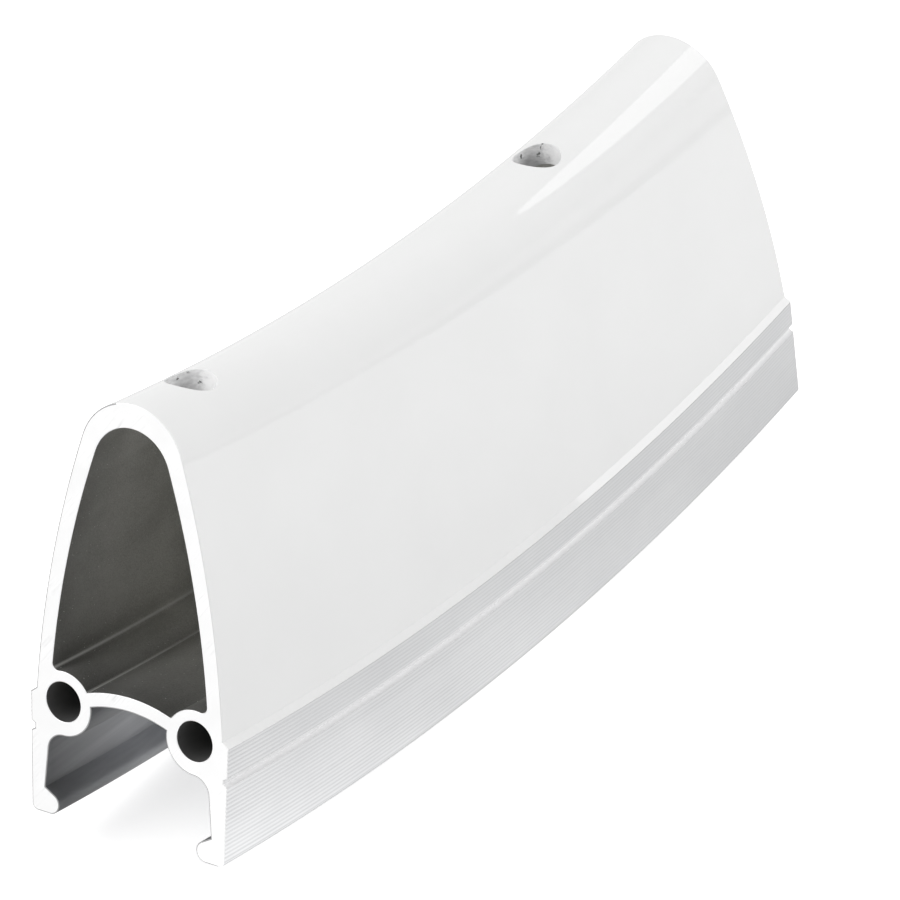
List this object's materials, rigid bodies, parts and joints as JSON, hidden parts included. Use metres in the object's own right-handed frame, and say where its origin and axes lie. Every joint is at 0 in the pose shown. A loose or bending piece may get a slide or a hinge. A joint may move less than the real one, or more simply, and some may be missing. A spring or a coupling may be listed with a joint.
{
  "type": "bicycle rim section",
  "caption": "Sawn length of a deep aluminium bicycle rim with a hollow rounded nose, spoke holes, round joint ports, machined brake tracks and a hooked tyre channel.",
  "frame": {"origin": "middle of the length, on the middle of the section, at the lowest point of the tyre edge", "axes": "+Z from the tyre edge up to the nose and on to the wheel's centre 0.317 m above the origin, +X along the wheel's axis, +Y along the length of rim"},
  "size_m": [0.0206, 0.0988, 0.0425],
  "materials": {
    "rim": "gloss white paint outside, machined aluminium brake tracks, bare sawn ends and bare inside"
  },
  "bodies": {
    "root": {"rim_section": "rim"}
  },
  "joints": []
}
